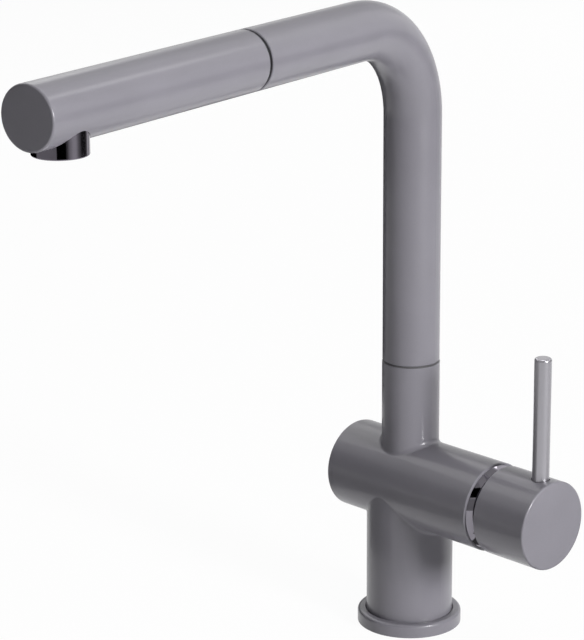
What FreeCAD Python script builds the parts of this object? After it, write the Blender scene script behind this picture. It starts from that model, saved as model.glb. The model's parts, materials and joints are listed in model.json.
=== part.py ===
import FreeCAD, Part
import math
import os

# Kitchen mixer tap with a swivelling spout and a pull-out handset.
# Millimetres, +Z up. The origin is the middle of the tap's foot, on top of the worktop.
# The lever side is +X. The spout and the handset are drawn pointing to -Y and are swivelled
# 10 degrees to the lever side at the end, as in the photo.

Vector = FreeCAD.Vector
east = Vector(1, 0, 0)
south = Vector(0, -1, 0)
north = Vector(0, 1, 0)
upward = Vector(0, 0, 1)

# Clearances
thread_gap = 0.1
seat_gap = 0.05
running_gap = 0.05
moving_gap = 0.3

# Stem and flange
stem_radius = 23.0
flange_radius = 27.75
flange_height = 7.2
flange_round = 1.8
flange_chamfer = 0.7
gasket_thickness = 1.5
junction_fillet = 2.5

# Barrel
barrel_radius = 23.5
barrel_height = 80.0
barrel_left = 39.0
barrel_right = 60.5
barrel_wall = 3.5
barrel_round = 0.5
end_cap_thickness = 3.0
end_cap_plug = 5.0
end_cap_round = 1.0
core_depth = 21.0

# Stub, swivel and spout
stub_radius = 15.2
stub_bore = 12.5
stub_bore_depth = 45.0
swivel_height = 146.5
swivel_washer_thickness = 0.8
tube_radius = 15.0
tube_wall = 2.2
arm_height = 328.0
bend_radius = 50.0
arm_reach = 140.5
split_gap = 2.2
mouth_chamfer = 0.4
sleeve_wall = 2.5
sleeve_depth = 43.0
sleeve_collar = 16.0
glide_ring_height = 5.0
upper_ring_drop = 3.0
lower_ring_rise = 3.0
swivel_limit = 70.0
spout_turn = 10.0
stop_screw_radius = 2.5
stop_screw_tip = 1.6
stop_screw_drop = 18.0
stop_groove_depth = 1.2
stop_screw_sink = 0.6
washer_inset = 0.4

# Worktop fixing
worktop_thickness = 30.0
shank_radius = 17.0
shank_bore = 14.75
shank_socket = 8.0
shank_length = 60.0
shank_chamfer = 1.0
clamp_gasket_thickness = 3.0
clamp_washer_thickness = 2.0
clamp_radius = 27.0
nut_across_flats = 46.0
nut_height = 8.0
nut_corner_trim = 1.0
nut_corner_chamfer = 1.5

# Waterways in the port block and the casting
port_block_height = 12.0
block_gasket_thickness = 1.0
passage_radius = 7.5
passage_offset = 6.5
port_radius = 3.5
port_depth = 10.0
port_circle = 10.25
inlet_angle = 68.0
outlet_reach = 9.5
inlet_channel_radius = 2.8
outlet_channel_radius = 3.0

# Cartridge
cavity_floor = 17.5
cartridge_radius = 17.35
cartridge_port_side = 6.5
cartridge_inlet_rise = 4.0
cartridge_outlet_drop = 8.0
peg_radius = 1.5
peg_length = 2.2
peg_side = 12.0
peg_drop = 5.0
seal_height = 1.0
seal_radius = 4.3
seal_step = 0.4
seal_gap = 0.02
base_height = 3.0
disc_thickness = 3.0
fixed_disc_radius = 15.5
moving_disc_radius = 12.0
moving_disc_offset = 2.5
disc_recess_rim = 4.0
disc_recess_depth = 1.5
carrier_height = 4.5
housing_wall = 1.35
housing_shoulder = 26.0
housing_neck_radius = 14.5
housing_neck = 8.0
rotor_radius = 12.5
rotor_flange_height = 2.5
rotor_inset = 0.5
pivot_pin_inset = 2.0
tongue_width = 2.0
tongue_spread = 8.0
pivot_reach = 43.5
pivot_pin_radius = 1.5
spindle_side = 8.0
spindle_length = 39.0
spindle_neck_radius = 1.9
spindle_shoulder = 6.0
ball_radius = 2.4
ball_gap = 0.15
tilt_limit = 22.0
cartridge_nut_radius = 19.65
cartridge_nut_height = 10.0
nut_slot_depth = 3.0
nut_slot_half = 2.0
dome_radius = 28.0
dome_thickness = 1.2
dome_spigot_wall = 1.45
dome_spigot_length = 6.0
dome_spigot_overlap = 2.5
dome_opening = 15.1

# Knob and lever pin
knob_radius = 23.25
knob_wall = 2.5
knob_gap = 6.0
knob_length = 33.0
knob_face = 5.0
knob_round = 0.9
knob_boss_radius = 8.0
knob_boss_length = 20.0
knob_screw_radius = 2.5
knob_screw_length = 4.0
knob_screw_inset = 4.5
screw_socket = 2.5
screw_socket_depth = 2.0
socket_slack = 0.5
pin_inset = 8.5
pin_radius = 4.4
pin_top = 167.5
pin_round = 1.2
pin_seat = 1.6
pin_groove_width = 0.45
pin_groove_depth = 1.1
pin_stud_radius = 3.0
pin_stud_length = 7.0
pin_pad_wall = 3.0
pin_pad_floor = 1.5

# Handset
handset_length = 153.5
handset_tip_wall = 2.5
tip_round = 1.0
neck_radius = 11.0
neck_length = 17.0
docking_length = 18.0
docking_collar_inset = 0.9
docking_collar_gap = 0.1
core_plug_length = 30.0
core_radius = 7.0
channel_radius = 3.5
channel_rise = 3.5
valve_radius = 6.9
valve_length = 14.0
valve_gap = 0.5
valve_wall = 1.5
valve_recess = 4.0
valve_groove = 0.8

# Aerator
aerator_inset = 20.7
aerator_radius = 12.8
aerator_gap = 0.15
aerator_drop = 4.4
aerator_collar = 14.0
aerator_thread_radius = 9.25
aerator_thread_length = 7.0
aerator_mouth_radius = 11.0
aerator_mouth_depth = 9.8
aerator_bore = 7.5
insert_height = 6.0
insert_inset = 1.0
mesh_hole_radius = 0.65
mesh_pitch = 2.1
mesh_rings = 4
aerator_seal_height = 1.5
aerator_seal_slack = 0.3
aerator_seat_wall = 3.5
aerator_round = 0.5
insert_rim = 1.5
insert_floor = 2.0

# Hose
hose_radius = 6.25
hose_bore = 4.2
hose_end_gap = 2.25
hose_lower_bend = 20.0
hose_lower_inset = 2.0
ferrule_wall = 1.2
ferrule_length = 16.0
ferrule_gap = 0.02
connector_hexagon = 17.0
connector_hexagon_height = 4.0
connector_thread_radius = 7.5
connector_thread_length = 12.0
connector_tail = 14.0
coupling_collar = 6.6
coupling_collar_height = 4.0
coupling_nose = 6.0
coupling_nose_length = 14.0
coupling_groove = 1.0
coupling_groove_height = 2.0
coupling_groove_pitch = 3.5
fitting_wall = 1.2

# Places that follow from the sizes above
stub_top = swivel_height - swivel_washer_thickness / 2
spout_foot = swivel_height + swivel_washer_thickness / 2 + running_gap
stub_bore_floor = stub_top - stub_bore_depth
tube_bore = tube_radius - tube_wall
sleeve_radius = stub_bore - 1.0
sleeve_bore = sleeve_radius - sleeve_wall
sleeve_foot = spout_foot - sleeve_depth
stop_screw_height = stub_top - stop_screw_drop
block_top = shank_socket + port_block_height
block_radius = shank_radius + thread_gap - seat_gap
nut_bottom = -(worktop_thickness + clamp_gasket_thickness + clamp_washer_thickness + nut_height)
cavity_radius = cartridge_radius + thread_gap + seat_gap
nut_bore = cartridge_nut_radius + thread_gap
base_left = cavity_floor + seal_height
disc_left = base_left + base_height
moving_disc_left = disc_left + disc_thickness
carrier_left = moving_disc_left + disc_thickness
rotor_left = carrier_left + carrier_height + moving_gap
housing_left = disc_left
shoulder_right = cavity_floor + housing_shoulder
neck_right = shoulder_right + housing_neck
rotor_flange_right = rotor_left + rotor_flange_height
ball_reach = pivot_reach - carrier_left - ball_radius - ball_gap
knob_left = barrel_right + knob_gap
knob_right = knob_left + knob_length
knob_bore = knob_radius - knob_wall
pin_reach = knob_right - pin_inset
mouth_reach = arm_reach - split_gap / 2
handset_rear = arm_reach + split_gap / 2
handset_tip = arm_reach + handset_length
aerator_reach = handset_tip - aerator_inset
connector_front = handset_rear - neck_length
hose_end = connector_front - connector_hexagon_height - hose_end_gap
aerator_bottom = arm_height - tube_radius - aerator_drop
aerator_top = aerator_bottom + aerator_collar


# Upright cylinder
def upright(radius, low, high, x=0.0, y=0.0):
    return Part.makeCylinder(radius, high - low, Vector(x, y, low), upward)


# Cylinder along the barrel, by distance from the barrel's axis
def across(radius, left, right, side=0.0, rise=0.0):
    return Part.makeCylinder(radius, right - left, Vector(left, side, barrel_height + rise), east)


# Cylinder along the arm, by distance in front of the riser
def forward(radius, near, far, rise=0.0):
    return Part.makeCylinder(radius, far - near, Vector(0, -near, arm_height + rise), south)


# Straight hole between two points, lengthened at both ends
def drilled(radius, start, end, extra):
    way = end - start
    way.normalize()
    return Part.makeCylinder(radius, (end - start).Length + 2 * extra, start - way * extra, way)


def block(x_low, x_high, y_low, y_high, z_low, z_high):
    corner = Vector(x_low, y_low, z_low)
    return Part.makeBox(x_high - x_low, y_high - y_low, z_high - z_low, corner)


# Upright hexagon
def hexagon(across_flats, low, high):
    corner_radius = across_flats / math.sqrt(3)
    corners = []
    for turn in range(7):
        angle = math.radians(60 * turn)
        corners.append(Vector(corner_radius * math.cos(angle), corner_radius * math.sin(angle), low))
    return Part.Face(Part.makePolygon(corners)).extrude(Vector(0, 0, high - low))


# Edges that are whole circles of one radius, centred at one distance along an axis
def circles(shape, radius, axis, distance):
    found = []
    for edge in shape.Edges:
        if not isinstance(edge.Curve, Part.Circle):
            continue
        along = edge.Curve.Center.dot(axis)
        if abs(edge.Curve.Radius - radius) < 0.001 and abs(along - distance) < 0.001:
            found.append(edge)
    return found


# Curved seam edges that lie wholly above or below the barrel's axis
def junctions(shape, above):
    found = []
    for edge in shape.Edges:
        if not isinstance(edge.Curve, Part.BSplineCurve):
            continue
        box = edge.BoundBox
        if (above and box.ZMin > barrel_height) or (not above and box.ZMax < barrel_height):
            found.append(edge)
    return found


# Ports in the casting's foot: hot, cold and the outlet to the hose
def port_places():
    angle = math.radians(inlet_angle)
    x_inlet = port_circle * math.cos(angle)
    y_inlet = port_circle * math.sin(angle)
    return [(x_inlet, -y_inlet), (x_inlet, y_inlet), (outlet_reach, 0.0)]


# Ports in the cartridge's base, beside and above or below its axis
def cartridge_ports():
    return [
        (-cartridge_port_side, cartridge_inlet_rise, inlet_channel_radius),
        (cartridge_port_side, cartridge_inlet_rise, inlet_channel_radius),
        (0.0, -cartridge_outlet_drop, outlet_channel_radius),
    ]


def body_outside():
    stem = upright(stem_radius, gasket_thickness, barrel_height)
    barrel = across(barrel_radius, end_cap_thickness - barrel_left, barrel_right)
    stub = upright(stub_radius, barrel_height, stub_top)
    body = stem.fuse([barrel, stub]).removeSplitter()
    body = body.makeFillet(junction_fillet, junctions(body, False))
    body = body.makeFillet(junction_fillet, junctions(body, True))
    rims = circles(body, barrel_radius, east, barrel_right)
    return body.makeChamfer(barrel_round, rims)


# Slanted way of the hose from the foot to the swivel
def hose_passage():
    foot = Vector(-passage_offset, 0, shank_socket)
    head = Vector(0, 0, stub_bore_floor)
    return drilled(passage_radius, foot, head, 1.0)


# Cored channels from the port block to the cartridge
def body_waterways():
    cuts = [hose_passage()]
    for place, port in zip(port_places(), cartridge_ports()):
        x_port, y_port = place
        side, rise, radius = port
        start = Vector(x_port, y_port, block_top)
        end = Vector(cavity_floor - radius, side, barrel_height + rise)
        cuts.append(drilled(radius, start, end, 0.0))
        cuts.append(across(radius, cavity_floor - 2 * radius, cavity_floor + 1, side, rise))
    return cuts


def body_casting():
    cuts = body_waterways()
    cuts.append(upright(shank_radius + thread_gap, 0, block_top + block_gasket_thickness))
    cuts.append(upright(stub_bore, stub_bore_floor, stub_top + 1))
    cuts.append(across(cavity_radius, cavity_floor, shoulder_right + 1))
    cuts.append(across(nut_bore, shoulder_right, barrel_right + 1))
    cuts.append(across(barrel_radius - barrel_wall, -barrel_left, core_depth - barrel_left))
    for side in (-1, 1):
        peg_foot = cavity_floor - peg_length - moving_gap
        cuts.append(across(peg_radius + seat_gap, peg_foot, cavity_floor + 1, side * peg_side, -peg_drop))
    screw = Part.makeCylinder(stop_screw_radius, stub_radius, Vector(0, 0, stop_screw_height), north)
    cuts.append(screw)
    return body_outside().cut(cuts)


# Brass block in the casting's foot with the hose ports, held up by the shank
def port_block():
    block_shape = upright(block_radius, shank_socket, block_top)
    cuts = [hose_passage()]
    for place, port in zip(port_places(), cartridge_ports()):
        x_port, y_port = place
        cuts.append(upright(port_radius, shank_socket, shank_socket + port_depth, x_port, y_port))
        cuts.append(upright(port[2], shank_socket, block_top, x_port, y_port))
    return block_shape.cut(cuts)


def block_gasket():
    top = block_top + block_gasket_thickness
    gasket = upright(block_radius, block_top, top).cut(hose_passage())
    for place, port in zip(port_places(), cartridge_ports()):
        gasket = gasket.cut(upright(port[2] + seal_step, block_top, top, place[0], place[1]))
    return gasket


def barrel_end_cap():
    disc = across(barrel_radius, -barrel_left, end_cap_thickness - barrel_left)
    disc = disc.makeFillet(end_cap_round, circles(disc, barrel_radius, east, -barrel_left))
    plug_left = end_cap_thickness - barrel_left
    plug = across(barrel_radius - barrel_wall - seat_gap, plug_left, plug_left + end_cap_plug)
    hollow_radius = barrel_radius - 2 * barrel_wall
    return disc.fuse(plug).cut(across(hollow_radius, plug_left, plug_left + end_cap_plug))


def base_ring():
    bore = stem_radius + seat_gap
    ring = upright(flange_radius, 0, flange_height).cut(upright(bore, 0, flange_height))
    ring = ring.makeFillet(flange_round, circles(ring, flange_radius, upward, flange_height))
    return ring.makeChamfer(flange_chamfer, circles(ring, bore, upward, flange_height))


def base_gasket():
    gasket = upright(stem_radius - seat_gap, 0, gasket_thickness)
    return gasket.cut(upright(shank_radius + moving_gap, 0, gasket_thickness))


def mounting_shank():
    shank = upright(shank_radius, -shank_length, shank_socket)
    shank = shank.makeChamfer(shank_chamfer, circles(shank, shank_radius, upward, -shank_length))
    return shank.cut(upright(shank_bore, -shank_length, shank_socket))


# Flat ring round the shank, under the worktop
def clamp_ring(thickness, top):
    ring = upright(clamp_radius, top - thickness, top)
    return ring.cut(upright(shank_radius + moving_gap, top - thickness, top))


def fixing_nut():
    nut = hexagon(nut_across_flats, nut_bottom, nut_bottom + nut_height)
    corner_radius = nut_across_flats / math.sqrt(3) - nut_corner_trim
    corner_cut = upright(corner_radius, nut_bottom, nut_bottom + nut_height)
    corner_cut = corner_cut.makeChamfer(nut_corner_chamfer, corner_cut.Edges[0:1] + corner_cut.Edges[2:3])
    return nut.common(corner_cut).cut(upright(shank_radius + thread_gap, nut_bottom, 0))


def cartridge_base():
    base = across(cartridge_radius, base_left, disc_left)
    for side in (-peg_side, peg_side):
        base = base.fuse(across(peg_radius, cavity_floor - peg_length, base_left, side, -peg_drop))
    for side, rise, radius in cartridge_ports():
        base = base.cut(across(radius, base_left, disc_left, side, rise))
    return base


def port_seals():
    rings = []
    for side, rise, radius in cartridge_ports():
        ring = across(seal_radius, cavity_floor + seal_gap, base_left - seal_gap, side, rise)
        rings.append(ring.cut(across(radius + seal_step, cavity_floor, base_left, side, rise)))
    return Part.makeCompound(rings)


def cartridge_housing():
    housing = across(cartridge_radius, housing_left, shoulder_right)
    housing = housing.fuse(across(housing_neck_radius, shoulder_right, neck_right)).removeSplitter()
    inside = cartridge_radius - housing_wall
    housing = housing.cut(across(inside, housing_left, rotor_flange_right + running_gap))
    return housing.cut(across(rotor_radius + running_gap, housing_left, neck_right))


def fixed_disc():
    disc = across(fixed_disc_radius, disc_left, moving_disc_left - seat_gap)
    for side, rise, radius in cartridge_ports():
        disc = disc.cut(across(radius, disc_left, moving_disc_left, side, rise))
    return disc


def moving_disc():
    disc = across(moving_disc_radius, moving_disc_left, carrier_left, 0, -moving_disc_offset)
    recess_radius = moving_disc_radius - disc_recess_rim
    recess_right = moving_disc_left + disc_recess_depth
    return disc.cut(across(recess_radius, moving_disc_left, recess_right, 0, -moving_disc_offset))


def disc_carrier():
    carrier_right = carrier_left + carrier_height
    carrier = across(moving_disc_radius, carrier_left, carrier_right, 0, -moving_disc_offset)
    carrier = carrier.cut(across(ball_radius + ball_gap, carrier_left, carrier_right))
    half = tongue_width / 2 + moving_gap
    for side in (-tongue_spread, tongue_spread):
        low = barrel_height - cartridge_radius
        high = barrel_height + cartridge_radius
        slot_left = carrier_right - tongue_width - moving_gap
        slot = block(slot_left, carrier_right, side - half, side + half, low, high)
        carrier = carrier.cut(slot)
    return carrier


# How far the tilted spindle's side reaches from the axis at a distance from the pivot
def tilt_reach(distance):
    tilt = math.radians(tilt_limit)
    return spindle_side / 2 / math.cos(tilt) + distance * math.tan(tilt) + moving_gap


def spindle_rotor():
    flange_radius_inside = cartridge_radius - housing_wall - moving_gap
    rotor = across(flange_radius_inside, rotor_left, rotor_flange_right)
    rotor_right = neck_right - rotor_inset
    rotor = rotor.fuse(across(rotor_radius, rotor_flange_right, rotor_right)).removeSplitter()
    half = spindle_side / 2 + moving_gap / 2
    rest = tilt_reach(0)
    drop = tilt_reach(rotor_right - pivot_reach)
    rise = tilt_reach(pivot_reach - rotor_left)
    right_slot = block(pivot_reach, rotor_right, -half, half, barrel_height - drop, barrel_height + rest)
    left_slot = block(rotor_left, pivot_reach, -half, half, barrel_height - rest, barrel_height + rise)
    rotor = rotor.cut([right_slot, left_slot])
    tongues = []
    for side in (-tongue_spread, tongue_spread):
        low = barrel_height - moving_disc_radius
        high = barrel_height + moving_disc_radius
        tongue_left = rotor_left - tongue_width
        tongue = block(tongue_left, rotor_left, side - tongue_width / 2, side + tongue_width / 2, low, high)
        tongues.append(tongue)
    return rotor.fuse(tongues).cut(pin_hole(pivot_pin_radius))


# Cylinder across the cartridge at the spindle's pivot
def pin_hole(radius):
    length = 2 * (rotor_radius - pivot_pin_inset)
    corner = Vector(pivot_reach, -length / 2, barrel_height)
    return Part.makeCylinder(radius, length, corner, north)


def cartridge_spindle():
    half = spindle_side / 2
    left = pivot_reach - spindle_shoulder
    shaft = block(left, left + spindle_length + spindle_shoulder, -half, half,
                  barrel_height - half, barrel_height + half)
    shaft = shaft.cut(pin_hole(pivot_pin_radius + running_gap))
    neck = across(spindle_neck_radius, pivot_reach - ball_reach, left)
    ball = Part.makeSphere(ball_radius, Vector(pivot_reach - ball_reach, 0, barrel_height))
    return shaft.fuse([neck, ball])


def cartridge_nut():
    left = shoulder_right + seat_gap
    nut = across(cartridge_nut_radius, left, left + cartridge_nut_height)
    nut = nut.cut(across(housing_neck_radius + thread_gap, left, left + cartridge_nut_height))
    for turn in range(4):
        right = left + cartridge_nut_height
        slot = block(right - nut_slot_depth, right, -nut_slot_half, nut_slot_half,
                     barrel_height, barrel_height + cartridge_nut_radius + 1)
        slot.rotate(Vector(0, 0, barrel_height), east, 90 * turn)
        nut = nut.cut(slot)
    return nut


def dome_cover():
    middle = Vector(pivot_reach, 0, barrel_height)
    shell = Part.makeSphere(dome_radius, middle).cut(Part.makeSphere(dome_radius - dome_thickness, middle))
    start = barrel_right + seat_gap
    shell = shell.common(across(barrel_radius, start, pivot_reach + dome_radius))
    shell = shell.cut(across(dome_opening, start, pivot_reach + dome_radius + 1))
    spigot_start = start - dome_spigot_length
    spigot_end = start + dome_spigot_overlap
    spigot = across(cartridge_nut_radius, spigot_start, spigot_end)
    spigot = spigot.cut(across(cartridge_nut_radius - dome_spigot_wall, spigot_start, spigot_end))
    return shell.fuse(spigot)


def lever_knob():
    knob = across(knob_radius, knob_left, knob_right)
    knob = knob.makeFillet(knob_round, circles(knob, knob_radius, east, knob_right))
    inside_right = knob_right - knob_face
    knob = knob.cut(across(knob_bore, knob_left, inside_right))
    boss = across(knob_boss_radius, inside_right - knob_boss_length, inside_right + socket_slack)
    seat = barrel_height + knob_radius - pin_seat
    pad_low = seat - pin_stud_length - pin_pad_floor
    pad = upright(pin_stud_radius + pin_pad_wall, pad_low, seat, pin_reach)
    knob = knob.fuse([boss, pad]).removeSplitter()
    half = spindle_side / 2 + seat_gap
    socket_end = pivot_reach + spindle_length + socket_slack
    socket = block(knob_left, socket_end, -half, half, barrel_height - half, barrel_height + half)
    pin_socket = upright(pin_radius + seat_gap, seat, seat + pin_radius * 2, pin_reach)
    stud_socket = upright(pin_stud_radius + seat_gap, seat - pin_stud_length - socket_slack, seat, pin_reach)
    groove_low = barrel_height + knob_radius - pin_groove_depth
    groove = upright(pin_radius + pin_groove_width, groove_low, seat + pin_radius * 2, pin_reach)
    low = barrel_height - knob_radius - 1
    screw_hole = upright(knob_screw_radius + seat_gap, low, barrel_height - half, screw_reach())
    return knob.cut([socket, pin_socket, groove, stud_socket, screw_hole])


# The knob's grub screw stands this far along the barrel's axis
def screw_reach():
    return knob_right - knob_face - knob_boss_length + knob_screw_inset


def knob_grub_screw():
    tip = barrel_height - spindle_side / 2
    screw = upright(knob_screw_radius, tip - knob_screw_length, tip, screw_reach())
    foot = tip - knob_screw_length
    socket = hexagon(screw_socket, foot, foot + screw_socket_depth)
    socket.translate(Vector(screw_reach(), 0, 0))
    return screw.cut(socket)


def lever_pin():
    seat = barrel_height + knob_radius - pin_seat
    pin = upright(pin_radius, seat + seat_gap, pin_top, pin_reach)
    pin = pin.makeFillet(pin_round, circles(pin, pin_radius, upward, pin_top))
    stud = upright(pin_stud_radius, seat - pin_stud_length, seat + 1, pin_reach)
    return pin.fuse(stud)


def swivel_washer():
    low = stub_top
    high = low + swivel_washer_thickness
    return upright(stub_radius - washer_inset, low, high).cut(upright(sleeve_radius + moving_gap, low, high))


def glide_ring(low):
    high = low + glide_ring_height
    ring = upright(stub_bore - seat_gap / 2, low, high)
    return ring.cut(upright(sleeve_radius + running_gap, low, high))


def spout_stop_screw():
    shaft_start = sleeve_radius + moving_gap
    shaft_length = stub_radius - stop_screw_sink - shaft_start
    shaft_foot = Vector(0, shaft_start, stop_screw_height)
    shaft = Part.makeCylinder(stop_screw_radius, shaft_length, shaft_foot, north)
    tip_start = sleeve_radius - stop_groove_depth + moving_gap
    tip_length = shaft_start - tip_start + 0.5
    tip = Part.makeCylinder(stop_screw_tip, tip_length, Vector(0, tip_start, stop_screw_height), north)
    socket = hexagon(screw_socket, 0, screw_socket_depth)
    socket.rotate(Vector(0, 0, 0), east, 90)
    socket.translate(Vector(0, shaft_start + shaft_length, stop_screw_height))
    return shaft.fuse(tip).cut(socket)


# Straight, bent and straight tube along the spout's centre line
def bent_tube(radius, foot, mouth):
    bend_height = arm_height - bend_radius
    riser = upright(radius, foot, bend_height)
    disc = Part.Face(Part.Wire(Part.makeCircle(radius, Vector(0, 0, bend_height), upward)))
    bend = disc.revolve(Vector(0, -bend_radius, bend_height), east, 90)
    return riser.fuse([bend, forward(radius, bend_radius, mouth)]).removeSplitter()


def spout_tube():
    outside = bent_tube(tube_radius, spout_foot, mouth_reach)
    inside = bent_tube(tube_bore, spout_foot, mouth_reach)
    spout = outside.cut(inside)
    rims = circles(spout, tube_radius, south, mouth_reach)
    rims += circles(spout, tube_radius, upward, spout_foot)
    return spout.makeChamfer(mouth_chamfer, rims)


def swivel_sleeve():
    sleeve = upright(sleeve_radius, sleeve_foot, spout_foot)
    collar = upright(tube_bore - seat_gap, spout_foot, spout_foot + sleeve_collar)
    sleeve = sleeve.fuse(collar).removeSplitter()
    sleeve = sleeve.cut(upright(sleeve_bore, sleeve_foot, spout_foot + sleeve_collar))
    return sleeve.cut(stop_groove())


# Part of a ring groove round the back of the sleeve, which limits the spout's swivel
def stop_groove():
    groove_floor = sleeve_radius - stop_groove_depth
    half_height = stop_screw_tip + moving_gap
    half_angle = swivel_limit + math.degrees(math.asin(stop_screw_tip / groove_floor)) + 2
    low = Vector(0, 0, stop_screw_height - half_height)
    groove = Part.makeCylinder(sleeve_radius + 1, 2 * half_height, low, upward, 2 * half_angle)
    groove.rotate(Vector(0, 0, 0), upward, 90 - half_angle)
    return groove.cut(Part.makeCylinder(groove_floor, 2 * half_height, low, upward))


# Guide in the arm's mouth, with the black collar that shows in the split
def docking_bush():
    near = mouth_reach - docking_length
    far = handset_rear - docking_collar_gap
    collar_near = mouth_reach + seat_gap
    bush = forward(tube_bore - seat_gap, near, far)
    bush = bush.fuse(forward(tube_radius - docking_collar_inset, collar_near, far))
    return bush.removeSplitter().cut(forward(neck_radius + moving_gap, near, far))


# Smooth path through corner points, each rounded by an arc of its own tangent length
def rounded_path(points, tangents):
    edges = []
    start = points[0]
    for index, tangent in enumerate(tangents):
        corner = points[index + 1]
        back = points[index] - corner
        back.normalize()
        ahead = points[index + 2] - corner
        ahead.normalize()
        half_turn = (math.pi - back.getAngle(ahead)) / 2
        arc_radius = tangent / math.tan(half_turn)
        print("hose bend radius", round(arc_radius, 1))
        bisector = back + ahead
        bisector.normalize()
        depth = arc_radius / math.cos(half_turn) - arc_radius
        arc_start = corner + back * tangent
        arc_end = corner + ahead * tangent
        edges.append(Part.LineSegment(start, arc_start).toShape())
        edges.append(Part.Arc(arc_start, corner + bisector * depth, arc_end).toShape())
        start = arc_end
    edges.append(Part.LineSegment(start, points[-1]).toShape())
    return Part.Wire(edges)


def hose_path():
    turn = math.radians(spout_turn)
    points = [
        Vector(-passage_offset, 0, hose_lower_inset - shank_length),
        Vector(-passage_offset, 0, shank_socket),
        Vector(0, 0, stub_bore_floor),
        Vector(0, 0, arm_height),
        Vector(hose_end * math.sin(turn), -hose_end * math.cos(turn), arm_height),
    ]
    return rounded_path(points, [hose_lower_bend, hose_lower_bend, bend_radius])


def pullout_hose():
    path = hose_path()
    start = path.Edges[0].Vertexes[0].Point
    outline = Part.Wire(Part.makeCircle(hose_radius, start, upward))
    lining = Part.Wire(Part.makeCircle(hose_bore, start, upward))
    hose = path.makePipeShell([outline], True, False).cut(path.makePipeShell([lining], True, False))
    section = math.pi * (hose_radius ** 2 - hose_bore ** 2)
    print("hose volume over section times length", round(hose.Volume / (section * path.Length), 4))
    return hose


# Push-in nipple on the hose's lower end
def hose_coupling():
    top = hose_lower_inset - shank_length
    collar_low = top - coupling_collar_height
    nose_low = collar_low - coupling_nose_length
    tail = upright(hose_bore - seat_gap, top, top + connector_tail, -passage_offset)
    collar = upright(coupling_collar, collar_low, top, -passage_offset)
    nose = upright(coupling_nose, nose_low, collar_low, -passage_offset)
    nose = nose.makeChamfer(coupling_groove, circles(nose, coupling_nose, upward, nose_low))
    coupling = collar.fuse([tail, nose])
    for turn in range(1, 4):
        low = nose_low + coupling_groove_pitch * turn - coupling_groove
        high = low + coupling_groove_height
        groove = upright(coupling_nose + 1, low, high, -passage_offset)
        groove = groove.cut(upright(coupling_nose - coupling_groove, low, high, -passage_offset))
        coupling = coupling.cut(groove)
    return coupling.cut(upright(hose_bore - fitting_wall, nose_low, top + connector_tail, -passage_offset))


def hose_ferrule():
    far = connector_front - connector_hexagon_height
    ferrule = forward(hose_radius + ferrule_wall, far - ferrule_length, far)
    return ferrule.cut(forward(hose_radius + ferrule_gap, far - ferrule_length, far))


def hose_connector():
    hexagon_near = connector_front - connector_hexagon_height
    nut = hexagon(connector_hexagon, 0, connector_hexagon_height)
    nut.rotate(Vector(0, 0, 0), east, 90)
    nut.translate(Vector(0, -hexagon_near, arm_height))
    thread = forward(connector_thread_radius, connector_front, connector_front + connector_thread_length)
    tail = forward(hose_bore - seat_gap, hexagon_near - connector_tail, hexagon_near)
    fitting = nut.fuse([thread, tail])
    thread_end = connector_front + connector_thread_length
    return fitting.cut(forward(hose_bore - fitting_wall, hexagon_near - connector_tail, thread_end))


def handset_shell():
    shell = forward(tube_radius, handset_rear, handset_tip)
    shell = shell.makeFillet(tip_round, circles(shell, tube_radius, south, handset_tip))
    shell = shell.makeChamfer(mouth_chamfer, circles(shell, tube_radius, south, handset_rear))
    shell = shell.cut(forward(tube_bore, handset_rear, handset_tip - handset_tip_wall))
    opening = aerator_radius + aerator_gap
    return shell.cut(upright(opening, aerator_bottom, aerator_top + moving_gap, 0, -aerator_reach))


# Room for the aerator's housing under the arm's middle
def aerator_space():
    return upright(aerator_radius + moving_gap, aerator_bottom, aerator_top + moving_gap, 0, -aerator_reach)


# Space for the aerator above its housing: the thread's bore and the chamber over it
def aerator_seat():
    thread_top = aerator_top + aerator_thread_length + aerator_seal_height
    thread = upright(aerator_thread_radius + thread_gap, aerator_bottom, thread_top, 0, -aerator_reach)
    chamber_top = arm_height + channel_rise + channel_radius
    return thread.fuse(upright(aerator_bore, thread_top - 1, chamber_top, 0, -aerator_reach))


def handset_waterway():
    neck = forward(neck_radius, connector_front, handset_rear + 1)
    plug_start = handset_rear + mouth_chamfer
    plug = forward(tube_bore - seat_gap, plug_start, plug_start + core_plug_length)
    seat_half = aerator_thread_radius + aerator_seat_wall
    core = forward(core_radius, plug_start, aerator_reach)
    seat = upright(seat_half, aerator_top + moving_gap, arm_height + tube_bore, 0, -aerator_reach)
    seat = seat.common(forward(tube_bore - seat_gap, plug_start, handset_tip - handset_tip_wall))
    waterway = neck.fuse([plug, core, seat])
    valve_start = connector_front + connector_thread_length
    cuts = [
        forward(connector_thread_radius + thread_gap, connector_front, valve_start + valve_gap),
        forward(valve_radius + seat_gap, valve_start, valve_start + valve_length + 2 * valve_gap),
        forward(channel_radius, valve_start, aerator_reach, channel_rise),
        aerator_space(),
        aerator_seat(),
    ]
    return waterway.cut(cuts)


def check_valve():
    start = connector_front + connector_thread_length + valve_gap + seat_gap
    end = start + valve_length
    valve = forward(valve_radius, start, end)
    valve = valve.cut(forward(valve_radius - valve_wall, start, start + valve_recess))
    valve = valve.cut(forward(valve_radius - valve_wall, end - valve_recess, end))
    groove = forward(valve_radius + 1, start + valve_wall, start + 2 * valve_wall)
    groove = groove.cut(forward(valve_radius - valve_groove, start + valve_wall, start + 2 * valve_wall))
    return valve.cut(groove)


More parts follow.
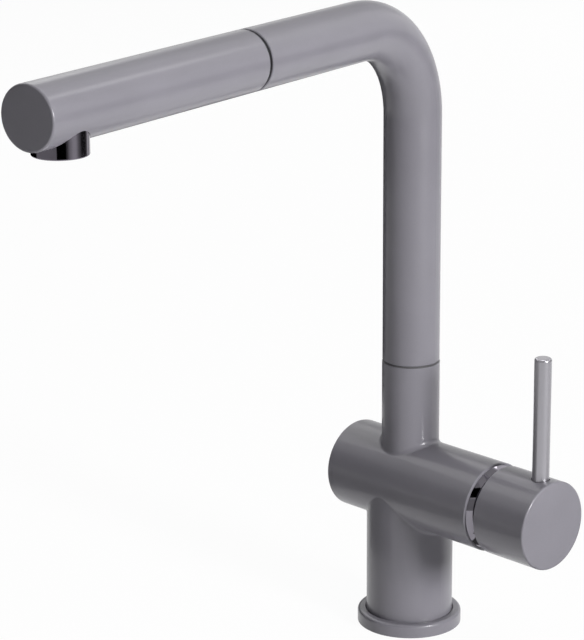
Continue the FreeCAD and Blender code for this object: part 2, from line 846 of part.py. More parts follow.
def aerator_housing():
    housing = upright(aerator_radius, aerator_bottom, aerator_top, 0, -aerator_reach)
    housing = housing.makeFillet(aerator_round, circles(housing, aerator_radius, upward, aerator_bottom))
    thread_top = aerator_top + aerator_thread_length
    housing = housing.fuse(upright(aerator_thread_radius, aerator_top - 1, thread_top, 0, -aerator_reach))
    mouth_top = aerator_bottom + aerator_mouth_depth
    mouth = upright(aerator_mouth_radius, aerator_bottom, mouth_top, 0, -aerator_reach)
    return housing.cut([mouth, upright(aerator_bore, aerator_bottom, thread_top, 0, -aerator_reach)])


def aerator_insert():
    low = aerator_bottom + insert_inset
    high = low + insert_height
    insert = upright(aerator_mouth_radius - seat_gap, low, high, 0, -aerator_reach)
    hollow = aerator_mouth_radius - insert_rim
    insert = insert.cut(upright(hollow, low + insert_floor, high, 0, -aerator_reach))
    holes = []
    for ring in range(mesh_rings + 1):
        count = max(1, 6 * ring)
        for step in range(count):
            angle = 2 * math.pi * step / count
            x_hole = ring * mesh_pitch * math.cos(angle)
            y_hole = ring * mesh_pitch * math.sin(angle) - aerator_reach
            holes.append(upright(mesh_hole_radius, low, high, x_hole, y_hole))
    return insert.cut(holes)


def aerator_seal():
    low = aerator_top + aerator_thread_length + seal_gap
    high = low + aerator_seal_height - aerator_seal_slack
    seal = upright(aerator_thread_radius, low, high, 0, -aerator_reach)
    return seal.cut(upright(aerator_bore, low, high, 0, -aerator_reach))


clamp_top = -worktop_thickness
pieces = {
    "body_casting": body_casting(),
    "barrel_end_cap": barrel_end_cap(),
    "port_block": port_block(),
    "block_gasket": block_gasket(),
    "base_ring": base_ring(),
    "base_gasket": base_gasket(),
    "mounting_shank": mounting_shank(),
    "clamp_gasket": clamp_ring(clamp_gasket_thickness, clamp_top),
    "clamp_washer": clamp_ring(clamp_washer_thickness, clamp_top - clamp_gasket_thickness),
    "fixing_nut": fixing_nut(),
    "cartridge_base": cartridge_base(),
    "port_seals": port_seals(),
    "cartridge_housing": cartridge_housing(),
    "fixed_disc": fixed_disc(),
    "moving_disc": moving_disc(),
    "disc_carrier": disc_carrier(),
    "spindle_rotor": spindle_rotor(),
    "pivot_pin": pin_hole(pivot_pin_radius),
    "cartridge_spindle": cartridge_spindle(),
    "cartridge_nut": cartridge_nut(),
    "dome_cover": dome_cover(),
    "lever_knob": lever_knob(),
    "knob_grub_screw": knob_grub_screw(),
    "lever_pin": lever_pin(),
    "swivel_washer": swivel_washer(),
    "upper_glide_ring": glide_ring(stub_top - upper_ring_drop - glide_ring_height),
    "lower_glide_ring": glide_ring(stub_bore_floor + lower_ring_rise),
    "spout_stop_screw": spout_stop_screw(),
    "spout_tube": spout_tube(),
    "swivel_sleeve": swivel_sleeve(),
    "docking_bush": docking_bush(),
    "pullout_hose": pullout_hose(),
    "hose_coupling": hose_coupling(),
    "hose_ferrule": hose_ferrule(),
    "hose_connector": hose_connector(),
    "handset_shell": handset_shell(),
    "handset_waterway": handset_waterway(),
    "check_valve": check_valve(),
    "aerator_housing": aerator_housing(),
    "aerator_insert": aerator_insert(),
    "aerator_seal": aerator_seal(),
}

turned = [
    "spout_tube",
    "swivel_sleeve",
    "docking_bush",
    "hose_ferrule",
    "hose_connector",
    "handset_shell",
    "handset_waterway",
    "check_valve",
    "aerator_housing",
    "aerator_insert",
    "aerator_seal",
]
for name in turned:
    pieces[name].rotate(Vector(0, 0, 0), upward, spout_turn)

os.makedirs("parts", exist_ok=True)
for name, shape in pieces.items():
    print(name, "solids", len(shape.Solids), "valid", shape.isValid(), "volume", round(shape.Volume, 1))
    shape.exportStep("parts/" + name + ".step")
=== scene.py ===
# Kitchen mixer tap with a swivel spout and a pull-out handset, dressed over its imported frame.
import json
import math

import bpy
from mathutils import Matrix, Vector


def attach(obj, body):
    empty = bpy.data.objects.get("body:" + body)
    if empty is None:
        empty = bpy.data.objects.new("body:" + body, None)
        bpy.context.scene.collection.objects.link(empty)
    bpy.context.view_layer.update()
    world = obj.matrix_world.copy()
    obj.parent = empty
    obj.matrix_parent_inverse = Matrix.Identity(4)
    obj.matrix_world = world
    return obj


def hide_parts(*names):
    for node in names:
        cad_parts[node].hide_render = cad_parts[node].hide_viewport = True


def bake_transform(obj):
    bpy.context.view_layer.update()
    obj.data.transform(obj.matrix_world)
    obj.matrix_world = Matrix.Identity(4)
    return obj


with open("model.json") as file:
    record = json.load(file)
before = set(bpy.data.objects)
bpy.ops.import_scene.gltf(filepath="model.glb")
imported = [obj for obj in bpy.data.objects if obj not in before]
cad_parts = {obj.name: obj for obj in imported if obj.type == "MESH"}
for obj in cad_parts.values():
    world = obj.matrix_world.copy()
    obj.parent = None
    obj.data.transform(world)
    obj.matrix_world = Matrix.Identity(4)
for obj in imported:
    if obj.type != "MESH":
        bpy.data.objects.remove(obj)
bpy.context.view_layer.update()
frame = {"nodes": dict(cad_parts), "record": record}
nodes = frame["nodes"]
scene = bpy.context.scene
print("frame loaded:", len(nodes), "nodes")


# Camera, where the photograph was taken from
camera = {
    "place": (0.92005, -0.97052, 0.56496),
    "turnDegrees": -2.6736,      # left or right of the foot's direction
    "tiltDegrees": -16.5306,
    "rollDegrees": -0.338,
    "lensMillimetres": 149.868,
    "sensorMillimetres": 36.0,
    "nearest": 0.05,             # metres, nothing nearer or farther away is seen
    "farthest": 20.0,
}


def placeCamera(setting):
    place = Vector(setting["place"])
    heading = math.atan2(-place.x, -place.y) + math.radians(setting["turnDegrees"])
    tilt = math.radians(setting["tiltDegrees"])
    level = math.cos(tilt)
    ahead = Vector((math.sin(heading) * level, math.cos(heading) * level, math.sin(tilt)))
    side = ahead.cross(Vector((0, 0, 1))).normalized()
    top = side.cross(ahead)
    roll = math.radians(setting["rollDegrees"])
    sideTurned = side * math.cos(roll) + top * math.sin(roll)
    topTurned = top * math.cos(roll) - side * math.sin(roll)
    lens = bpy.data.cameras.new("photoCamera")
    lens.lens = setting["lensMillimetres"]
    lens.sensor_width = setting["sensorMillimetres"]
    lens.clip_start = setting["nearest"]
    lens.clip_end = setting["farthest"]
    holder = bpy.data.objects.new("photoCamera", lens)
    scene.collection.objects.link(holder)
    turn = Matrix((sideTurned, topTurned, -ahead)).transposed().to_4x4()
    holder.matrix_world = Matrix.Translation(place) @ turn
    scene.camera = holder


placeCamera(camera)
scene.view_settings.view_transform = "Standard"
print("camera placed")


# Materials
def newMaterial(name):
    made = bpy.data.materials.new(name)
    made.use_nodes = True
    return made, made.node_tree, made.node_tree.nodes["Principled BSDF"]


def addNode(tree, kind, **values):
    node = tree.nodes.new(kind)
    for key, value in values.items():
        setattr(node, key, value)
    return node


def addNoise(tree, scale, detail=2.0, roughness=0.5, stretch=None):
    place = addNode(tree, "ShaderNodeTexCoord")
    noise = addNode(tree, "ShaderNodeTexNoise")
    noise.inputs["Scale"].default_value = scale
    noise.inputs["Detail"].default_value = detail
    noise.inputs["Roughness"].default_value = roughness
    if stretch:
        mapping = addNode(tree, "ShaderNodeMapping")
        mapping.inputs["Scale"].default_value = stretch
        tree.links.new(place.outputs["Object"], mapping.inputs["Vector"])
        tree.links.new(mapping.outputs["Vector"], noise.inputs["Vector"])
    else:
        tree.links.new(place.outputs["Object"], noise.inputs["Vector"])
    return noise.outputs["Fac"]


# Noise stays mostly between 0.3 and 0.7, so that is what a spread starts from
def spread(tree, value, low, high, fromLow=0.3, fromHigh=0.7):
    node = addNode(tree, "ShaderNodeMapRange")
    node.inputs["From Min"].default_value = fromLow
    node.inputs["From Max"].default_value = fromHigh
    node.inputs["To Min"].default_value = low
    node.inputs["To Max"].default_value = high
    tree.links.new(value, node.inputs["Value"])
    return node.outputs["Result"]


def blendColours(tree, value, first, second):
    node = addNode(tree, "ShaderNodeMix", data_type="RGBA")
    node.inputs["A"].default_value = (*first, 1.0)
    node.inputs["B"].default_value = (*second, 1.0)
    tree.links.new(value, node.inputs["Factor"])
    return node.outputs["Result"]


def addBump(tree, height, depth, strength=1.0, under=None):
    node = addNode(tree, "ShaderNodeBump")
    node.inputs["Strength"].default_value = strength
    node.inputs["Distance"].default_value = depth
    tree.links.new(height, node.inputs["Height"])
    if under:
        tree.links.new(under, node.inputs["Normal"])
    return node.outputs["Normal"]


paint = {
    "dark": (0.163, 0.157, 0.179),
    "light": (0.193, 0.186, 0.212),
    "cloudSize": 26.0,           # slow drift of tone and gloss
    "cloudShare": 0.3,           # of the tone
    "grainSize": 3200.0,         # specks per metre in the sprayed coat
    "grainShare": 0.7,
    "grainDepth": 0.000003,
    "grainStrength": 0.6,
    "peelSize": 620.0,           # orange peel, about 1.6 mm
    "peelDepth": 0.00001,
    "peelStrength": 0.5,
    "roughness": (0.34, 0.41),
    "specular": 0.34,
    "metallic": 0.0,
    "coat": 0.32,
    "coatRoughness": 0.15,
}
pinPaint = {                     # the lever pin is paler and more metallic
    **paint,
    "dark": (0.335, 0.327, 0.353),
    "light": (0.370, 0.361, 0.390),
    "roughness": (0.26, 0.32),
    "metallic": 0.9,
}


def makePaint(name, setting):
    made, tree, shader = newMaterial(name)
    grain = addNoise(tree, setting["grainSize"], 3.0, 0.6)
    cloud = addNoise(tree, setting["cloudSize"], 3.0)
    mixed = addNode(tree, "ShaderNodeMath", operation="MULTIPLY_ADD")
    tree.links.new(grain, mixed.inputs[0])
    mixed.inputs[1].default_value = setting["grainShare"]
    tree.links.new(spread(tree, cloud, 0.0, setting["cloudShare"]), mixed.inputs[2])
    tone = spread(tree, mixed.outputs[0], 0.0, 1.0, 0.2, 0.8)
    colour = blendColours(tree, tone, setting["dark"], setting["light"])
    tree.links.new(colour, shader.inputs["Base Color"])
    tree.links.new(spread(tree, cloud, *setting["roughness"]), shader.inputs["Roughness"])
    ripple = addNoise(tree, setting["peelSize"], 1.0)
    peel = addBump(tree, ripple, setting["peelDepth"], setting["peelStrength"])
    skin = addBump(tree, grain, setting["grainDepth"], setting["grainStrength"], peel)
    tree.links.new(skin, shader.inputs["Normal"])
    shader.inputs["Specular IOR Level"].default_value = setting["specular"]
    shader.inputs["Metallic"].default_value = setting["metallic"]
    shader.inputs["Coat Weight"].default_value = setting["coat"]
    shader.inputs["Coat Roughness"].default_value = setting["coatRoughness"]
    return made


# Tones between low and high, in noise of this size, drawn out along an axis by stretch
metals = {
    "chromeRing": {"low": (0.21, 0.199, 0.226), "high": (0.25, 0.237, 0.269),
                   "roughness": (0.04, 0.08), "size": 60.0, "stretch": None, "bump": 0.0},
    "darkChrome": {"low": (0.22, 0.203, 0.240), "high": (0.26, 0.240, 0.283),
                   "roughness": (0.05, 0.11), "size": 80.0, "stretch": None, "bump": 0.0},
    "turnedBrass": {"low": (0.60, 0.42, 0.17), "high": (0.76, 0.57, 0.27),
                    "roughness": (0.22, 0.38), "size": 90.0, "stretch": (1.0, 1.0, 22.0),
                    "bump": 0.000012},
    "zincSteel": {"low": (0.50, 0.50, 0.50), "high": (0.66, 0.67, 0.69),
                  "roughness": (0.28, 0.42), "size": 260.0, "stretch": None, "bump": 0.000006},
}
wearFineness = 3.3               # the wear is this much finer than the tone
wearStrength = 0.8


def makeMetal(name, setting):
    made, tree, shader = newMaterial(name)
    tone = addNoise(tree, setting["size"], 4.0, 0.6, setting["stretch"])
    colour = blendColours(tree, spread(tree, tone, 0.0, 1.0), setting["low"], setting["high"])
    tree.links.new(colour, shader.inputs["Base Color"])
    wear = addNoise(tree, setting["size"] * wearFineness, 3.0, 0.6, setting["stretch"])
    tree.links.new(spread(tree, wear, *setting["roughness"]), shader.inputs["Roughness"])
    if setting["bump"]:
        tree.links.new(addBump(tree, wear, setting["bump"], wearStrength), shader.inputs["Normal"])
    shader.inputs["Metallic"].default_value = 1.0
    return made


moulded = {
    "blackRubber": {"low": (0.012, 0.012, 0.012), "high": (0.026, 0.026, 0.025),
                    "roughness": (0.62, 0.80), "grain": 900.0, "bump": 0.00005, "specular": 0.35},
    "blackPlastic": {"low": (0.009, 0.009, 0.010), "high": (0.016, 0.016, 0.018),
                     "roughness": (0.38, 0.50), "grain": 1500.0, "bump": 0.00002, "specular": 0.25},
    "whitePlastic": {"low": (0.70, 0.69, 0.65), "high": (0.78, 0.77, 0.74),
                     "roughness": (0.34, 0.46), "grain": 1300.0, "bump": 0.00002, "specular": 0.5},
    "greyPlastic": {"low": (0.19, 0.20, 0.22), "high": (0.25, 0.26, 0.28),
                    "roughness": (0.34, 0.46), "grain": 1300.0, "bump": 0.00002, "specular": 0.5},
    "smokePlastic": {"low": (0.075, 0.074, 0.078), "high": (0.10, 0.099, 0.104),
                     "roughness": (0.38, 0.50), "grain": 1300.0, "bump": 0.00002, "specular": 0.4},
    "lappedCeramic": {"low": (0.72, 0.70, 0.64), "high": (0.79, 0.77, 0.72),
                      "roughness": (0.16, 0.28), "grain": 2600.0, "bump": 0.000004, "specular": 0.6},
}
mouldedCloudSize = 70.0
mouldedStrength = 0.6


def makeMoulded(name, setting):
    made, tree, shader = newMaterial(name)
    cloud = addNoise(tree, mouldedCloudSize, 4.0, 0.6)
    grain = addNoise(tree, setting["grain"], 2.0)
    colour = blendColours(tree, spread(tree, cloud, 0.0, 1.0), setting["low"], setting["high"])
    tree.links.new(colour, shader.inputs["Base Color"])
    tree.links.new(spread(tree, grain, *setting["roughness"]), shader.inputs["Roughness"])
    tree.links.new(addBump(tree, grain, setting["bump"], mouldedStrength), shader.inputs["Normal"])
    shader.inputs["Specular IOR Level"].default_value = setting["specular"]
    return made


finishes = {
    "sprayedGrey": makePaint("sprayedGrey", paint),
    "sprayedPin": makePaint("sprayedPin", pinPaint),
}
for name, setting in metals.items():
    finishes[name] = makeMetal(name, setting)
for name, setting in moulded.items():
    finishes[name] = makeMoulded(name, setting)

finishOfSlot = {
    "painted_grey": "sprayedGrey",
    "chrome": "chromeRing",
    "brass": "turnedBrass",
    "steel": "zincSteel",
    "black_rubber": "blackRubber",
    "black_plastic": "blackPlastic",
    "white_plastic": "whitePlastic",
    "grey_plastic": "greyPlastic",
    "ceramic": "lappedCeramic",
    "hose_braid": "blackPlastic",    # the plain hose, which the braided one replaces
}
finishOfNode = {
    "aerator_housing": "darkChrome",
    "lever_pin": "sprayedPin",
    "swivel_washer": "smokePlastic",
}


def dress(piece, finish):
    piece.data.materials.clear()
    piece.data.materials.append(finishes[finish])


for part in frame["record"]["subparts"]:
    finish = finishOfSlot[part["material_slot"]]
    finish = finishOfNode.get(part["node"], finish)
    dress(nodes[part["node"]], finish)
print("materials made:", len(finishes))


# Pieces shaped by hand, each named as it is made
def freshPiece(name):
    piece = bpy.context.object
    piece.name = name
    piece.data.name = name
    return piece


def applyModifiers(piece):
    bpy.ops.object.select_all(action="DESELECT")
    piece.select_set(True)
    bpy.context.view_layer.objects.active = piece
    for modifier in list(piece.modifiers):
        bpy.ops.object.modifier_apply(modifier=modifier.name)


def cutWith(piece, tool, operation):
    modifier = piece.modifiers.new("cut", "BOOLEAN")
    modifier.operation = operation
    modifier.solver = "EXACT"
    modifier.object = tool
    applyModifiers(piece)
    bpy.data.objects.remove(tool)


shank = {
    "crest": 0.017,              # radii
    "root": 0.0161,
    "bore": 0.01475,
    "low": -0.060,               # under the worktop's top face
    "high": 0.008,               # in the foot of the casting
    "pitch": 0.0015,
    "flankShare": 0.42,          # of the pitch, up to the crest and down again
    "flatShare": 0.08,           # crest and root
    "spareShare": 0.1,           # cut off past each end
    "leadIn": 0.0014,            # chamfer at the lower end
    "sides": 64,
    "smoothDegrees": 20,
}
weld = 0.00001                   # points nearer than this are merged
overshoot = 0.01                 # a drill runs this far past both ends


# One point, left in edit mode, to be extruded
def startPoint(name, place):
    bpy.ops.object.select_all(action="DESELECT")
    bpy.ops.mesh.primitive_plane_add(size=0.002, location=(0, 0, 0))
    piece = freshPiece(name)
    bpy.ops.object.mode_set(mode="EDIT")
    bpy.ops.mesh.select_mode(type="VERT")
    bpy.ops.mesh.select_all(action="SELECT")
    bpy.ops.mesh.merge(type="CENTER")
    bpy.ops.transform.translate(value=place)
    return piece


def addRod(radius, low, high, sides):
    bpy.ops.object.select_all(action="DESELECT")
    bpy.ops.mesh.primitive_cylinder_add(vertices=sides, radius=radius, depth=high - low,
                                        location=(0, 0, (low + high) / 2))
    bpy.ops.object.transform_apply(location=True, rotation=True, scale=True)
    return bpy.context.object


def makeShank(setting):
    pitch = setting["pitch"]
    start = setting["low"] - pitch
    piece = startPoint("threadedShank", (setting["root"], 0, start))
    rise = setting["crest"] - setting["root"]
    flank, flat = pitch * setting["flankShare"], pitch * setting["flatShare"]
    for step in ((rise, 0, flank), (0, 0, flat), (-rise, 0, flank), (0, 0, flat)):
        bpy.ops.mesh.extrude_region_move(TRANSFORM_OT_translate={"value": step})
    bpy.ops.object.mode_set(mode="OBJECT")
    thread = piece.modifiers.new("thread", "SCREW")
    thread.axis = "Z"
    thread.screw_offset = pitch
    thread.iterations = int((setting["high"] - setting["low"]) / pitch) + 3    # some turns to spare
    thread.steps = thread.render_steps = setting["sides"]
    thread.use_smooth_shade = False
    applyModifiers(piece)
    bpy.ops.object.mode_set(mode="EDIT")
    bpy.ops.mesh.select_all(action="SELECT")
    bpy.ops.mesh.remove_doubles(threshold=weld)
    spare = pitch * setting["spareShare"]
    for height, way in ((setting["low"] - spare, -1), (setting["high"] + spare, 1)):
        bpy.ops.mesh.select_all(action="SELECT")
        bpy.ops.mesh.bisect(plane_co=(0, 0, height), plane_no=(0, 0, way), use_fill=True,
                            clear_outer=True)
    bpy.ops.mesh.select_all(action="SELECT")
    bpy.ops.mesh.normals_make_consistent(inside=False)
    bpy.ops.object.mode_set(mode="OBJECT")
    # A rod with a chamfer at its lower end trims the thread to length
    clearance, nearby = 0.00005, 0.0001
    envelope = addRod(setting["crest"] + clearance, setting["low"], setting["high"],
                      setting["sides"])
    bpy.ops.object.mode_set(mode="EDIT")
    bpy.ops.mesh.select_mode(type="EDGE")
    bpy.ops.mesh.select_all(action="DESELECT")
    bpy.ops.object.mode_set(mode="OBJECT")
    for edge in envelope.data.edges:
        heights = [envelope.data.vertices[index].co.z for index in edge.vertices]
        edge.select = max(heights) < setting["low"] + nearby
    bpy.ops.object.mode_set(mode="EDIT")
    bpy.ops.mesh.bevel(offset=setting["leadIn"], segments=1, affect="EDGES")
    bpy.ops.object.mode_set(mode="OBJECT")
    cutWith(piece, envelope, "INTERSECT")
    drill = addRod(setting["bore"], setting["low"] - overshoot, setting["high"] + overshoot,
                   setting["sides"])
    cutWith(piece, drill, "DIFFERENCE")
    bpy.ops.object.shade_smooth_by_angle(angle=math.radians(setting["smoothDegrees"]))
    dress(piece, "turnedBrass")
    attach(piece, "mixer_body")
    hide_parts("mounting_shank")


makeShank(shank)
print("shank threaded")


hose = {
    "radius": 0.00625,
    "offset": -0.0065,           # beside the axis, where it runs through the shank
    "low": -0.058,
    "bendLow": 0.008,            # from here it slants to the axis
    "bendHigh": 0.1011,
    "split": 0.1285,             # here the turning stretch takes over
    "armHeight": 0.328,
    "bendRadius": 0.050,
    "end": -0.11835,             # in the ferrule
    "stretchStart": -0.0520,     # what lies between these is drawn out
    "stretchEnd": -0.1030,
    "turn": math.radians(10),    # the spout stands swivelled
    "pull": 0.45,                # how far the handset comes out
    "sides": 40,
    "steps": 24,                 # along each run
    "strands": 14,               # round the hose, each way
    # dark in the gaps between strands: painted shade
    "gapShadeColour": (0.012, 0.012, 0.013),
    "strandColour": (0.085, 0.084, 0.09),
    "roughness": (0.75, 0.5),    # between the strands and on them
    "braidDepth": 0.0004,
    "braidStrength": 0.9,
}


def makeBraid(setting):
    made, tree, shader = newMaterial("hoseBraid")
    place = addNode(tree, "ShaderNodeUVMap", uv_map="braid")
    parts = addNode(tree, "ShaderNodeSeparateXYZ")
    tree.links.new(place.outputs["UV"], parts.inputs[0])
    girth = 2 * math.pi * setting["radius"]

    # Counts the strands that run round one way, and bump gives each its round back
    def across(sign):
        around = addNode(tree, "ShaderNodeMath", operation="MULTIPLY")
        tree.links.new(parts.outputs["X"], around.inputs[0])
        around.inputs[1].default_value = setting["strands"]
        along = addNode(tree, "ShaderNodeMath", operation="MULTIPLY_ADD")
        tree.links.new(parts.outputs["Y"], along.inputs[0])
        along.inputs[1].default_value = sign * setting["strands"] / girth
        tree.links.new(around.outputs[0], along.inputs[2])
        return along.outputs[0]

    def bump(value):
        part = addNode(tree, "ShaderNodeMath", operation="PINGPONG")
        tree.links.new(value, part.inputs[0])
        part.inputs[1].default_value = 0.5
        double = addNode(tree, "ShaderNodeMath", operation="MULTIPLY")
        tree.links.new(part.outputs[0], double.inputs[0])
        double.inputs[1].default_value = math.pi
        sine = addNode(tree, "ShaderNodeMath", operation="SINE")
        tree.links.new(double.outputs[0], sine.inputs[0])
        return sine.outputs[0]

    first, second = across(1), across(-1)
    checker = addNode(tree, "ShaderNodeTexChecker")
    pair = addNode(tree, "ShaderNodeCombineXYZ")
    tree.links.new(first, pair.inputs[0])
    tree.links.new(second, pair.inputs[1])
    tree.links.new(pair.outputs[0], checker.inputs["Vector"])
    checker.inputs["Scale"].default_value = 1.0
    over = addNode(tree, "ShaderNodeMix", data_type="FLOAT")
    tree.links.new(checker.outputs["Fac"], over.inputs["Factor"])
    tree.links.new(bump(first), over.inputs["A"])
    tree.links.new(bump(second), over.inputs["B"])
    height = over.outputs["Result"]
    # The braid's colour darkens from the strand tops down into the gaps between strands: painted
    # shade in its crevices
    tone = spread(tree, height, 0.0, 1.0, 0.2, 0.9)
    colour = blendColours(tree, tone, setting["gapShadeColour"], setting["strandColour"])
    tree.links.new(colour, shader.inputs["Base Color"])
    gloss = spread(tree, height, *setting["roughness"], 0.2, 1.0)
    tree.links.new(gloss, shader.inputs["Roughness"])
    relief = addBump(tree, height, setting["braidDepth"], setting["braidStrength"])
    tree.links.new(relief, shader.inputs["Normal"])
    return made


finishes["hoseBraid"] = makeBraid(hose)


# How far a value has come from start to end, from 0 to 1
def shareOfWay(value, start, end):
    return min(1.0, max(0.0, (start - value) / (start - end)))


# Distance along the hose and angle round it, for a point on its skin. The distance counts what
# the stretching part gains, so the braid is even when the handset is drawn.
def hoseSkin(point, setting):
    radius, armHeight = setting["bendRadius"], setting["armHeight"]
    bendTop = armHeight - radius
    if point.z <= bendTop:
        share = shareOfWay(point.z, setting["bendHigh"], setting["bendLow"])
        return point.z, math.atan2(point.y, point.x - setting["offset"] * share)
    if point.y > -radius:
        away = Vector((point.y + radius, point.z - bendTop))
        length = bendTop + radius * math.atan2(away.y, away.x)
        return length, math.atan2(away.length - radius, point.x)
    share = shareOfWay(point.y, setting["stretchStart"], setting["stretchEnd"])
    pulled = setting["pull"] * share * share * (3 - 2 * share)
    length = bendTop + radius * math.pi / 2 + (-point.y - radius) + pulled
    return length, math.atan2(point.z - armHeight, point.x)


def makeHosePiece(name, points, setting):
    line = bpy.data.curves.new(name, "CURVE")
    line.dimensions = "3D"
    line.bevel_depth = setting["radius"]
    line.bevel_resolution = (setting["sides"] - 4) // 4
    line.resolution_u = setting["steps"]
    spline = line.splines.new("BEZIER")
    spline.bezier_points.add(len(points) - 1)
    for knot, (place, back, ahead) in zip(spline.bezier_points, points):
        knot.co = place
        knot.handle_left = Vector(place) - Vector(back)
        knot.handle_right = Vector(place) + Vector(ahead)
    tube = bpy.data.objects.new(name, line)
    scene.collection.objects.link(tube)
    bpy.ops.object.select_all(action="DESELECT")
    tube.select_set(True)
    bpy.context.view_layer.objects.active = tube
    bpy.ops.object.convert(target="MESH")
    piece = freshPiece(name)
    bpy.ops.object.mode_set(mode="EDIT")
    bpy.ops.mesh.select_all(action="SELECT")
    bpy.ops.mesh.remove_doubles(threshold=weld)
    bpy.ops.object.mode_set(mode="OBJECT")
    mesh = piece.data
    while mesh.uv_layers:
        mesh.uv_layers.remove(mesh.uv_layers[0])
    layer = mesh.uv_layers.new(name="braid")
    for face in mesh.polygons:
        skin = [hoseSkin(mesh.vertices[index].co, setting) for index in face.vertices]
        highest = max(angle for length, angle in skin) / (2 * math.pi)
        for loop, (length, angle) in zip(face.loop_indices, skin):
            share = angle / (2 * math.pi)
            if highest - share > 0.5:    # a face that lies over the seam
                share += 1.0
            layer.data[loop].uv = (share, length)
        face.use_smooth = True
    dress(piece, "hoseBraid")
    return piece


def makeHose(setting):
    offset, split = setting["offset"], setting["split"]
    bendLow, bendHigh = setting["bendLow"], setting["bendHigh"]
    slant = Vector((-offset, 0, bendHigh - bendLow)).normalized()
    low = Vector((offset, 0, bendLow))
    high = Vector((0, 0, bendHigh))
    up = Vector((0, 0, 1))
    reach = 0.020                # from a corner to where its curve starts
    curved = 0.66                # handle over reach in a curve
    straight, meeting = 0.01, 0.002    # handles on the runs and where the two pieces meet
    lower = [
        (Vector((offset, 0, setting["low"])), up * straight, up * straight),
        (low - up * reach, up * straight, up * reach * curved),
        (low + slant * reach, slant * reach * curved, slant * straight),
        (high - slant * reach, slant * straight, slant * reach * curved),
        (high + up * reach, up * reach * curved, up * meeting),
        (Vector((0, 0, split)), up * meeting, up * meeting),
    ]
    piece = makeHosePiece("hoseLower", lower, setting)
    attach(piece, "mixer_body")
    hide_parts("pullout_hose")
    radius, armHeight = setting["bendRadius"], setting["armHeight"]
    handle = radius * 0.5523     # makes a quarter circle
    ahead = Vector((0, -1, 0))
    gap = (setting["stretchStart"] - setting["stretchEnd"]) / 3
    riser, shortRun, last = up * 0.02, ahead * 0.0008, ahead * 0.004
    upper = [
        (Vector((0, 0, split)), riser, riser),
        (Vector((0, 0, armHeight - radius)), riser, up * handle),
        (Vector((0, -radius, armHeight)), ahead * handle, shortRun),
        (Vector((0, setting["stretchStart"], armHeight)), shortRun, ahead * gap),
        (Vector((0, setting["stretchEnd"], armHeight)), ahead * gap, last),
        (Vector((0, setting["end"], armHeight)), last, last),
    ]
    piece = makeHosePiece("hoseUpper", upper, setting)
    piece.rotation_euler.z = setting["turn"]
    bpy.ops.object.transform_apply(location=True, rotation=True, scale=True)
    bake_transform(piece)
    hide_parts("pullout_hose")


makeHose(hose)
print("hose laid")


# Floor, white surroundings and lamps
floor = {
    "height": -0.0002,
    "half": 4.0,                 # of its side
    "colour": (0.92, 0.92, 0.92),
    "roughness": 0.9,
    "specular": 0.1,
    "white": 0.955,              # share of plain white seen, the rest keeps the shadow
}


# The camera, gloss and glass see white, and everything else sees the surface
def addWhiteShow(tree, surface, share):
    path = addNode(tree, "ShaderNodeLightPath")
    seen = addNode(tree, "ShaderNodeMath", operation="ADD", use_clamp=True)
    tree.links.new(path.outputs["Is Camera Ray"], seen.inputs[0])
    tree.links.new(path.outputs["Is Glossy Ray"], seen.inputs[1])
    through = addNode(tree, "ShaderNodeMath", operation="ADD", use_clamp=True)
    tree.links.new(seen.outputs[0], through.inputs[0])
    tree.links.new(path.outputs["Is Transmission Ray"], through.inputs[1])
    amount = addNode(tree, "ShaderNodeMath", operation="MULTIPLY")
    tree.links.new(through.outputs[0], amount.inputs[0])
    amount.inputs[1].default_value = share
    mix = addNode(tree, "ShaderNodeMixShader")
    tree.links.new(amount.outputs[0], mix.inputs["Fac"])
    tree.links.new(surface, mix.inputs[1])
    return mix


def makeFloor(setting):
    bpy.ops.object.select_all(action="DESELECT")
    bpy.ops.mesh.primitive_plane_add(size=2 * setting["half"], location=(0, 0, setting["height"]))
    plane = bpy.context.object
    plane.name = "studioFloor"
    made, tree, shader = newMaterial("floorWhite")
    shader.inputs["Base Color"].default_value = (*setting["colour"], 1.0)
    shader.inputs["Roughness"].default_value = setting["roughness"]
    shader.inputs["Specular IOR Level"].default_value = setting["specular"]
    glow = addNode(tree, "ShaderNodeEmission")
    glow.inputs["Strength"].default_value = 1.0
    mix = addWhiteShow(tree, shader.outputs["BSDF"], setting["white"])
    tree.links.new(glow.outputs[0], mix.inputs[2])
    tree.links.new(mix.outputs[0], tree.nodes["Material Output"].inputs["Surface"])
    plane.data.materials.append(made)


surroundings = {"fill": (0.97, 0.97, 1.0), "fillStrength": 0.004}    # what diffuse light sees


def makeWorld(setting):
    world = bpy.data.worlds.new("studio")
    scene.world = world
    world.use_nodes = True
    tree = world.node_tree
    fill = tree.nodes["Background"]
    fill.inputs["Color"].default_value = (*setting["fill"], 1.0)
    fill.inputs["Strength"].default_value = setting["fillStrength"]
    white = addNode(tree, "ShaderNodeBackground")
    white.inputs["Color"].default_value = (1, 1, 1, 1)
    white.inputs["Strength"].default_value = 1.0
    mix = addWhiteShow(tree, fill.outputs[0], 1.0)
    tree.links.new(white.outputs[0], mix.inputs[2])
    tree.links.new(mix.outputs[0], tree.nodes["World Output"].inputs["Surface"])


# Turn and rise are in degrees, round and above the point that the lamps are aimed at
lamps = {
    "keyLamp": {"turn": 0.0, "rise": 16.5, "size": 0.5, "watts": 56.0},
    "highLamp": {"turn": -176.0, "rise": 54.0, "size": 1.6, "watts": 9.5},
    "backLamp": {"turn": 120.0, "rise": 17.0, "size": 0.9, "watts": 6.0},
    "farLamp": {"turn": 150.0, "rise": 32.0, "size": 0.9, "watts": 2.5},
    "topLamp": {"turn": 90.0, "rise": 34.0, "size": 1.6, "watts": 2.2},
    "frontLamp": {"turn": -32.0, "rise": 50.0, "size": 0.9, "watts": 3.0},
    "overheadLamp": {"turn": 90.0, "rise": 84.0, "size": 0.9, "watts": 8.0},
    "sparkLamp": {"turn": 75.0, "rise": 43.0, "size": 0.35, "watts": 1.1},
}
lampAim = Vector((0.0, -0.07, 0.16))
lampDistance = 2.2


